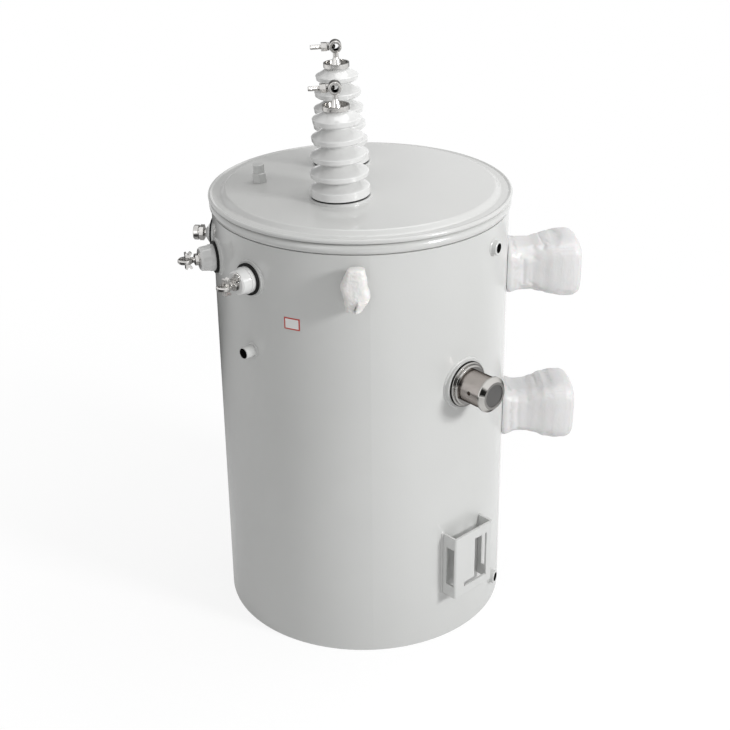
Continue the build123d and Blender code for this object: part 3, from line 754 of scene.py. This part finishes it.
liftingFilm = {
    "azimuths": {"right": -4.9, "left": 175.1},
    "height": 0.716,
    "reach": 0.280,
    "sections": (  # level, half width, half depth, squareness
        (-0.0365, 0.0080, 0.0080, 2.2),
        (-0.0350, 0.0130, 0.0150, 2.4),
        (-0.0325, 0.0155, 0.0178, 2.4),
        (-0.0290, 0.0170, 0.0150, 2.6),
        (-0.0240, 0.0200, 0.0170, 2.6),
        (-0.0180, 0.0225, 0.0185, 2.8),
        (-0.0080, 0.0250, 0.0190, 3.0),
        (0.0125, 0.0250, 0.0190, 3.0),
        (0.0250, 0.0215, 0.0180, 2.8),
        (0.0350, 0.0175, 0.0155, 2.8),
        (0.0410, 0.0150, 0.0125, 2.6),
        (0.0430, 0.0100, 0.0080, 2.4),
    ),
    "drift": (  # level, sideways shift
        (-0.0365, -0.0045),
        (-0.0220, -0.0010),
        (-0.0100, 0.0020),
        (0.0100, -0.0030),
        (0.0250, -0.0005),
        (0.0430, 0.0015),
    ),
    "frontFade": 0.006,
    "flap": {
        "side": 0.001,
        "sideFade": 0.0015,
        "top": -0.011,
        "topFade": 0.0025,
        "bottom": -0.032,
        "bottomFade": 0.004,
        "lift": 0.0058,
    },
    "slit": {
        "side": -0.0005,
        "slant": 0.18,
        "low": -0.033,
        "lowFade": 0.002,
        "high": -0.014,
        "highFade": 0.004,
        "width": 0.0012,
        "depth": 0.0060,
    },
    "voxel": 0.0020,
    "heldReach": 0.004,
    "lumps": (0.020, 0.0022),
    "creases": (0.006, 0.0008),
    "cloth": {"frames": 18, "growth": 0.10, "pressure": 0.6, "stiffness": 0.02, "cap": 0.0035},
}


def ramp(value, low, high):
    # 0 at low and 1 at high, eased at both ends
    share = min(1.0, max(0.0, (value - low) / (high - low)))
    return share * share * (3 - 2 * share)


def foldMouth(piece, azimuth):
    # the open lower end: one flap laid over the other, with a slit between them
    spec = liftingFilm
    flap, slit = spec["flap"], spec["slit"]
    out = outward(azimuth)
    along = Vector((-out.y, out.x, 0))
    for vertex in piece.data.vertices:
        side = vertex.co.dot(along)
        rise = vertex.co.z - spec["height"]
        vertex.co += along * between(spec["drift"], rise)[0]
        facing = ramp(vertex.co.dot(out) - spec["reach"], 0.0, spec["frontFade"])
        shift = flap["lift"] * ramp(side - flap["side"], 0.0, flap["sideFade"])
        underTop = ramp(flap["top"] - rise, 0.0, flap["topFade"])
        shift *= underTop * ramp(rise, flap["bottom"] - flap["bottomFade"], flap["bottom"])
        offLine = abs(side - slit["side"] - (rise - slit["low"]) * slit["slant"])
        near = 1 - ramp(offLine, 0.0, slit["width"])
        overLow = ramp(rise, slit["low"] - slit["lowFade"], slit["low"])
        near *= overLow * (1 - ramp(rise, slit["high"] - slit["highFade"], slit["high"]))
        vertex.co += out * facing * (shift - slit["depth"] * near)


def buildLiftingFilm(label):
    spec = liftingFilm
    azimuth = spec["azimuths"][label]
    piece = sleeve(spec["sections"])
    evenMesh(piece, spec["voxel"])
    placeAt(
        piece,
        Matrix.Translation(outward(azimuth) * spec["reach"] + Vector((0, 0, spec["height"])))
        @ Matrix.Rotation(radians(azimuth + 90), 4, "Z"),
    )
    backReach = tankRadius + spec["heldReach"]
    creaseAsCloth(piece, spec["cloth"], lambda place: 1.0 if place.xy.length < backReach else 0.0)
    smoothOnce(piece)
    foldMouth(piece, azimuth)
    roughen(piece, f"bagLumps_{label}", *spec["lumps"])
    roughen(piece, f"bagCreases_{label}", *spec["creases"])
    keepOffWall(piece)
    finishPiece(piece, f"liftingFilm_{label}", bagFilm, angle=60)
    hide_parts(f"lifting_wrap_{label}")


for label in liftingFilm["azimuths"]:
    buildLiftingFilm(label)
    print("lifting lug film", label)

weldRipple = (0.006, 0.0012)  # scale, strength


def sinkOntoWall(piece, azimuth):
    # bend a flat ring in the wall's plane onto the round wall
    out = outward(azimuth)
    for vertex in piece.data.vertices:
        side = -out.y * vertex.co.x + out.x * vertex.co.y
        drop = tankRadius - sqrt(max(0.0, tankRadius**2 - side**2))
        vertex.co.x -= out.x * drop
        vertex.co.y -= out.y * drop


def finishWeld(piece, name):
    roughen(piece, name + "Ripple", *weldRipple)
    cleanNormals(piece)
    finishPiece(piece, name, tankPaint, angle=70)


def buildWeldRing(name, azimuth, height, radius, thick):
    deselectAll()
    bpy.ops.mesh.primitive_torus_add(
        major_radius=radius, minor_radius=thick, major_segments=72, minor_segments=10
    )
    piece = bpy.context.object
    placeAt(piece, wallMatrix(azimuth, height, tankRadius))
    sinkOntoWall(piece, azimuth)
    finishWeld(piece, name)


weldRings = (  # name, azimuth, height, radius of the fitting, bead radius
    ("weldBushingA", -48.0, 0.702, 0.0305, 0.0022),
    ("weldBushingB", -74.2, 0.702, 0.0305, 0.0022),
    ("weldBushingC", -100.4, 0.702, 0.0305, 0.0022),
    ("weldTap", 39.0, 0.508, 0.0445, 0.0026),
    ("weldCoupling", -48.5, 0.5705, 0.0110, 0.0022),
    ("weldBossUpper", 56.0, 0.732, 0.0125, 0.0020),
    ("weldBossLower", 63.0, 0.054, 0.0125, 0.0020),
)
for name, azimuth, height, radius, thick in weldRings:
    buildWeldRing(name, azimuth, height, radius, thick)

bracketWeld = {
    "azimuth": 40,
    "bottom": 0.097,
    "top": 0.222,
    "side": 0.0485,
    "gap": 0.0008,
    "radius": 0.0021,
    "parts": 40,
}


def buildWeldLine(name, side):
    spec = bracketWeld
    length = spec["top"] - spec["bottom"]
    deselectAll()
    bpy.ops.mesh.primitive_cylinder_add(vertices=12, radius=spec["radius"], depth=length)
    piece = bpy.context.object
    bpy.ops.object.mode_set(mode="EDIT")
    bpy.ops.mesh.select_all(action="SELECT")
    for cut in range(1, spec["parts"]):
        level = length * (cut / spec["parts"] - 0.5)
        bpy.ops.mesh.bisect(plane_co=(0, 0, level), plane_no=(0, 0, 1), use_fill=False)
        bpy.ops.mesh.select_all(action="SELECT")
    bpy.ops.object.mode_set(mode="OBJECT")
    out = outward(spec["azimuth"])
    along = Vector((-out.y, out.x, 0))
    edge = spec["side"] + spec["gap"]
    reach = sqrt(tankRadius**2 - edge**2)
    place = out * reach + along * (side * edge) + Vector((0, 0, spec["bottom"] + length / 2))
    placeAt(piece, Matrix.Translation(place))
    finishWeld(piece, name)


buildWeldLine("weldBracketNear", -1)
buildWeldLine("weldBracketFar", 1)
print("welds done")


threadShared = {"sides": 26, "tipLength": 0.7, "tipTaper": 0.72}  # tip length in pitches


def threadedRod(radius, root, pitch, length):
    # ridges stepped up a rod, with a bevelled tip
    deselectAll()
    bpy.ops.mesh.primitive_circle_add(vertices=threadShared["sides"], radius=root, fill_type="NGON")
    piece = bpy.context.object
    bpy.ops.object.mode_set(mode="EDIT")
    bpy.ops.mesh.select_all(action="SELECT")
    turns = int(length / pitch)
    for turn in range(turns):
        for growth in (radius / root, root / radius):
            bpy.ops.mesh.extrude_region_move(TRANSFORM_OT_translate={"value": (0, 0, length / turns / 2)})
            bpy.ops.transform.resize(value=(growth, growth, 1))
    tipLength, taper = pitch * threadShared["tipLength"], threadShared["tipTaper"]
    bpy.ops.mesh.extrude_region_move(TRANSFORM_OT_translate={"value": (0, 0, tipLength)})
    bpy.ops.transform.resize(value=(taper, taper, 1))
    bpy.ops.object.mode_set(mode="OBJECT")
    cleanNormals(piece)
    return piece


def washer(outer, inner, thick, bevelShare=0.2):
    deselectAll()
    bpy.ops.mesh.primitive_circle_add(vertices=40, radius=outer, fill_type="NGON")
    piece = bpy.context.object
    bpy.ops.object.mode_set(mode="EDIT")
    bpy.ops.mesh.select_all(action="SELECT")
    bpy.ops.mesh.inset(thickness=outer - inner)
    bpy.ops.mesh.delete(type="FACE")
    bpy.ops.mesh.select_all(action="SELECT")
    bpy.ops.mesh.extrude_region_move(TRANSFORM_OT_translate={"value": (0, 0, thick)})
    bpy.ops.object.mode_set(mode="OBJECT")
    cleanNormals(piece)
    addModifier(piece, "BEVEL", width=thick * bevelShare, segments=2, limit_method="ANGLE")
    applyAll(piece)
    return piece


clampSpec = {
    "screw": {"radius": 0.0041, "root": 0.0038, "pitch": 0.0014, "length": 0.0182},
    "screwStart": 0.0248,  # starts are distances from the eye's centre
    "tip": {"radius": 0.0036, "root": 0.0032, "pitch": 0.0014, "length": 0.0056},
    "tipStart": 0.0066,
    "washer": {"outer": 0.0070, "inner": 0.0036, "thick": 0.0012},
    "washerStarts": (0.0112, 0.0132),
}
# the clamping screw points along the seat's -y
screwTurn = Matrix.Rotation(radians(90), 4, "X")
for label, (side, eyeHeight) in bushingSpec["eyes"].items():
    eye = bushingSeat(side) @ Matrix.Translation((0, 0, eyeHeight)) @ screwTurn
    rod = threadedRod(**clampSpec["screw"])
    placeAt(rod, eye @ Matrix.Translation((0, 0, clampSpec["screwStart"])))
    finishPiece(rod, f"clampThread_{label}", platedMetal)
    # its tip, driven half way into the bore, in dark steel that also stands for the shade in the bore
    tip = threadedRod(**clampSpec["tip"])
    placeAt(tip, eye @ Matrix.Translation((0, 0, clampSpec["tipStart"])) @ Matrix.Rotation(pi, 4, "X"))
    finishPiece(tip, f"clampTip_{label}", steelMetal)
    for number, start in enumerate(clampSpec["washerStarts"]):
        ring = washer(**clampSpec["washer"])
        placeAt(ring, eye @ Matrix.Translation((0, 0, start)))
        finishPiece(ring, f"clampWasher_{label}_{number}", steelMetal)

studSpec = {
    "azimuths": {"a": -48.0, "b": -74.2},
    "height": 0.702,
    "reach": 0.293,
    "thread": {"radius": 0.0052, "root": 0.0048, "pitch": 0.0013, "length": 0.0060},
    "threadStart": 0.0079,
    "tab": {"outer": 0.0080, "inner": 0.0042, "thick": 0.0022},
    "tabPlace": (0.006, 0.013, 0.0003),  # along the wall, up and out from the stud's seat
}
for label, azimuth in studSpec["azimuths"].items():
    stud = wallMatrix(azimuth, studSpec["height"], studSpec["reach"])
    rod = threadedRod(**studSpec["thread"])
    placeAt(rod, stud @ Matrix.Translation((0, 0, studSpec["threadStart"])))
    finishPiece(rod, f"studThread_{label}", platedMetal)
# a ring tab beside the front stud
tab = washer(**studSpec["tab"])
frontStud = wallMatrix(studSpec["azimuths"]["a"], studSpec["height"], studSpec["reach"])
placeAt(tab, frontStud @ Matrix.Translation(studSpec["tabPlace"]))
finishPiece(tab, "studTab", platedMetal)
print("small hardware done")

# a plain label on the wall, white with a red border
labelSpec = {
    "azimuth": -29.3,
    "height": 0.640,
    "width": 0.029,
    "tall": 0.021,
    "border": 0.0022,
    "thick": 0.0004,
    "gap": 0.0001,
    "cuts": 5,
}
deselectAll()
bpy.ops.mesh.primitive_plane_add(size=1)
label = bpy.context.object
label.scale = (labelSpec["width"], labelSpec["tall"], 1)
freeze(label)
label.data.materials.append(labelRed)
label.data.materials.append(labelWhite)
bpy.ops.object.mode_set(mode="EDIT")
bpy.ops.mesh.select_all(action="SELECT")
bpy.ops.mesh.inset(thickness=labelSpec["border"])
label.active_material_index = 1
bpy.ops.object.material_slot_assign()
bpy.ops.mesh.select_all(action="SELECT")
bpy.ops.mesh.subdivide(number_cuts=labelSpec["cuts"])
bpy.ops.mesh.extrude_region_move(TRANSFORM_OT_translate={"value": (0, 0, labelSpec["thick"])})
bpy.ops.object.mode_set(mode="OBJECT")
cleanNormals(label)
labelReach = tankRadius + labelSpec["gap"]
placeAt(label, wallMatrix(labelSpec["azimuth"], labelSpec["height"], labelReach))
sinkOntoWall(label, labelSpec["azimuth"])
finishPiece(label, "plainLabel", None, angle=30)
print("label done")

# floor, lamps and cards
studio = {
    "floorSize": 30,
    "floorLevel": -0.0005,
    "floorColour": 0.72,
    "nearShare": 0.74,  # share of plain white in what the camera sees close by
    "nearWhite": 1.13,
    "fade": (0.6, 1.8),  # distances between which the floor turns plain white
    "worldLight": 0.43,
    "lamps": {  # place, size, power
        "keyLamp": ((2.2, 3.0, 2.2), 0.9, 98),
        "fillLamp": ((3.4, -1.8, 1.6), 2.6, 22),
        "topLamp": ((-0.4, 0.6, 3.2), 2.0, 21),
    },
    "flags": {  # place, size, tilt, shade: dark cards with soft edges that only reflections see
        "cardBehind": ((3.6, -0.2, 1.3), (3.4, 6.0), 90, 0.02),
        "cardFloorLeft": ((1.3, -1.45, 0.002), (4.4, 3.9), 0, 0.06),
        "cardFloorBack": ((-1.55, -0.8, 0.003), (2.8, 2.4), 0, 0.03),
        "cardBackLeft": ((-2.4, -0.9, 1.7), (2.6, 2.8), 90, 0.50),
        "cardFloorRight": ((0.7, 1.9, 0.002), (3.0, 3.0), 0, 0.30),
    },
    "flagEdge": 0.30,
    "aim": (0, 0, 0.45),
}

deselectAll()
bpy.ops.mesh.primitive_plane_add(size=studio["floorSize"], location=(0, 0, studio["floorLevel"]))
floor = bpy.context.object
floor.name = "floor"
floorMaterial = bpy.data.materials.new("floorWhite")
floorMaterial.use_nodes = True
tree = floorMaterial.node_tree
tree.nodes.remove(tree.nodes["Principled BSDF"])
plain = tree.nodes.new("ShaderNodeBsdfDiffuse")
plain.inputs["Color"].default_value = (*[studio["floorColour"]] * 3, 1)
glow = tree.nodes.new("ShaderNodeEmission")
mix = tree.nodes.new("ShaderNodeMixShader")
rays = tree.nodes.new("ShaderNodeLightPath")
place = tree.nodes.new("ShaderNodeTexCoord")
length = tree.nodes.new("ShaderNodeVectorMath")
length.operation = "LENGTH"
tree.links.new(place.outputs["Object"], length.inputs[0])
distance = length.outputs["Value"]
seen = addMath(tree, "MAXIMUM", rays.outputs["Is Camera Ray"], rays.outputs["Is Glossy Ray"])
whiteShare = addRange(tree, distance, studio["nearShare"], 1.0, *studio["fade"])
tree.links.new(addMath(tree, "MULTIPLY", seen, whiteShare), mix.inputs["Fac"])
strength = addRange(tree, distance, studio["nearWhite"], 1.0, *studio["fade"])
tree.links.new(strength, glow.inputs["Strength"])
tree.links.new(plain.outputs["BSDF"], mix.inputs[1])
tree.links.new(glow.outputs["Emission"], mix.inputs[2])
tree.links.new(mix.outputs["Shader"], tree.nodes["Material Output"].inputs["Surface"])
floor.data.materials.append(floorMaterial)

world = bpy.data.worlds.new("studioWorld")
bpy.context.scene.world = world
world.use_nodes = True
tree = world.node_tree
background = tree.nodes["Background"]
background.inputs["Color"].default_value = (1, 1, 1, 1)
rays = tree.nodes.new("ShaderNodeLightPath")
seen = addMath(tree, "MAXIMUM", rays.outputs["Is Camera Ray"], rays.outputs["Is Glossy Ray"])
seen = addMath(tree, "MAXIMUM", seen, rays.outputs["Is Transmission Ray"])
tree.links.new(addRange(tree, seen, studio["worldLight"], 1.0, 0.0, 1.0), background.inputs["Strength"])


def turnTowards(holder, place, aim):
    holder.location = place
    holder.rotation_euler = (Vector(aim) - Vector(place)).to_track_quat("-Z", "Y").to_euler()


for name, (place, size, power) in studio["lamps"].items():
    lamp = bpy.data.lights.new(name, "AREA")
    lamp.shape = "DISK"
    lamp.size = size
    lamp.energy = power
    holder = bpy.data.objects.new(name, lamp)
    bpy.context.scene.collection.objects.link(holder)
    turnTowards(holder, place, studio["aim"])

for name, (place, size, tilt, shade) in studio["flags"].items():
    deselectAll()
    bpy.ops.mesh.primitive_plane_add(size=1)
    card = bpy.context.object
    card.name = name
    card.scale = (*size, 1)
    card.location = place
    card.rotation_euler = (0, radians(tilt), 0)
    soft = bpy.data.materials.new(name)
    soft.use_nodes = True
    tree = soft.node_tree
    tree.nodes.remove(tree.nodes["Principled BSDF"])
    dark = tree.nodes.new("ShaderNodeBsdfDiffuse")
    dark.inputs["Color"].default_value = (shade, shade, shade, 1)
    clear = tree.nodes.new("ShaderNodeBsdfTransparent")
    mix = tree.nodes.new("ShaderNodeMixShader")
    split = tree.nodes.new("ShaderNodeSeparateXYZ")
    tree.links.new(tree.nodes.new("ShaderNodeTexCoord").outputs["Object"], split.inputs["Vector"])
    sides = []
    for axisName in ("X", "Y"):
        offset = addMath(tree, "ABSOLUTE", split.outputs[axisName])
        sides.append(addRange(tree, offset, 1.0, 0.0, 0.5 - studio["flagEdge"], 0.5))
    tree.links.new(addMath(tree, "MULTIPLY", *sides), mix.inputs["Fac"])
    tree.links.new(clear.outputs["BSDF"], mix.inputs[1])
    tree.links.new(dark.outputs["BSDF"], mix.inputs[2])
    tree.links.new(mix.outputs["Shader"], tree.nodes["Material Output"].inputs["Surface"])
    card.data.materials.append(soft)
    card.visible_camera = False
    card.visible_diffuse = False
    card.visible_shadow = False

cameraSpec = {
    "place": (2.3893, -0.1252, 1.6040),
    "heading": 86.89,  # turn about Z from looking along +Y
    "pitch": 25.73,  # degrees down from level
    "roll": -0.69,
    "lens": 70.85,
    "sensor": 36,
}
cameraData = bpy.data.cameras.new("camera")
cameraData.lens = cameraSpec["lens"]
cameraData.sensor_width = cameraSpec["sensor"]
cameraData.dof.use_dof = False
camera = bpy.data.objects.new("camera", cameraData)
bpy.context.scene.collection.objects.link(camera)
camera.location = cameraSpec["place"]
look = Euler((radians(90 - cameraSpec["pitch"]), 0, radians(cameraSpec["heading"]))).to_matrix()
camera.rotation_euler = (look @ Matrix.Rotation(radians(cameraSpec["roll"]), 3, "Z")).to_euler()
bpy.context.scene.camera = camera
bpy.context.scene.view_settings.view_transform = "Standard"
print("stage done")
